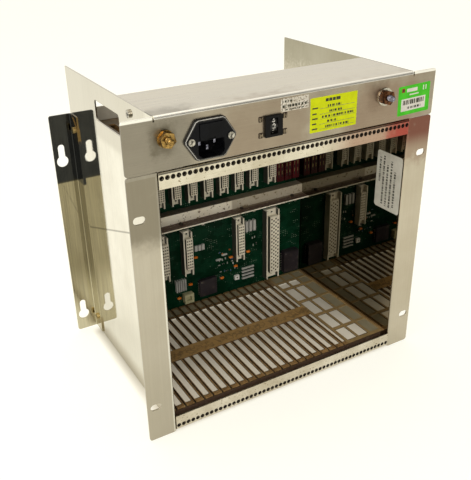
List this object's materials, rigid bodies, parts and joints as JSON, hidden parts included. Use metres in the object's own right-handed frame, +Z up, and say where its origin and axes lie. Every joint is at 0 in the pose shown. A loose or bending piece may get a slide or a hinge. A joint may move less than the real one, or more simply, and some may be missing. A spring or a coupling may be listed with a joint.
{
  "type": "subrack card cage",
  "caption": "Open-front rack cage for plug-in cards with moulded guide grids, a split backplane, keyhole wall brackets and a top housing with mains inlet and address switch.",
  "frame": {"origin": "centre of the bounding box at the height of the lower edge that the cage stands on", "axes": "+X to the right seen from the front, +Y from the open front to the backplane, +Z up"},
  "size_m": [0.32, 0.228, 0.3103],
  "materials": {
    "polished_steel": "mirror-polished stainless sheet",
    "satin_steel": "satin stainless sheet",
    "rail_steel": "polished stainless sheet",
    "bracket_steel": "mirror-polished stainless sheet",
    "screw_steel": "plated steel",
    "screw_brass": "yellow-passivated steel",
    "guide_plastic": "moulded plastic, brown",
    "board_green": "glass-fibre board with green resist",
    "connector_beige": "moulded plastic, grey beige",
    "connector_red": "moulded plastic, dark red",
    "chip_dark": "moulded plastic, near black",
    "capacitor_orange": "dipped resin, orange",
    "array_grey": "dipped resin, grey",
    "coil_ivory": "moulded plastic, ivory",
    "jumper_white": "moulded plastic, white",
    "inlet_black": "moulded plastic, black",
    "fuse_glass": "clear glass",
    "nickel": "nickel plate",
    "switch_black": "moulded plastic, black",
    "wheel_black": "moulded plastic, black with a white digit",
    "brass": "worn brass",
    "stud_nickel": "nickel-plated steel, stained",
    "copper_brown": "copper-coloured plate, stained"
  },
  "bodies": {
    "cage": {"side_plate_left": "polished_steel", "side_plate_right": "polished_steel", "top_housing": "satin_steel", "front_rail_top": "rail_steel", "front_rail_bottom": "rail_steel", "rear_rail_top": "rail_steel", "rear_rail_bottom": "rail_steel", "middle_rail": "rail_steel", "middle_rail_screws": "screw_steel", "threaded_strip_top": "screw_steel", "threaded_strip_bottom": "screw_steel", "guide_grid_bottom": "guide_plastic", "guide_grid_top": "guide_plastic", "backplane_upper": "board_green", "backplane_lower": "board_green", "upper_connectors": "connector_beige", "half_connectors": "connector_beige", "wide_connector": "connector_beige", "power_connectors": "connector_red", "board_chips": "chip_dark", "board_capacitors": "capacitor_orange", "resistor_arrays": "array_grey", "coil_socket": "coil_ivory", "jumper_block": "jumper_white", "board_screws": "screw_steel", "bracket_left": "bracket_steel", "bracket_right": "bracket_steel", "bracket_screws": "screw_brass", "housing_screws": "screw_steel", "mains_inlet": "inlet_black", "inlet_pins": "nickel", "inlet_screws": "screw_steel", "switch_housing": "switch_black", "switch_axle": "nickel", "switch_tabs": "nickel", "earth_stud_left": "brass", "earth_nut_left": "brass", "earth_washer_left": "brass", "earth_stud_right": "stud_nickel", "earth_nut_right": "copper_brown", "earth_washer_right": "nickel", "rear_nuts": "brass"},
    "drawer": {"fuse_drawer": "inlet_black", "fuse": "fuse_glass"},
    "wheel": {"thumbwheel": "wheel_black"}
  },
  "joints": [
    {"name": "fuse_drawer_slide", "type": "slide", "parent": "cage", "child": "drawer", "axis": [0, -1, 0], "range_m": [0, 0.014]},
    {"name": "address_wheel_turn", "type": "hinge", "parent": "cage", "child": "wheel", "pos_m": [-0.0244, -0.0954, 0.2853], "axis": [1, 0, 0], "continuous": true}
  ]
}
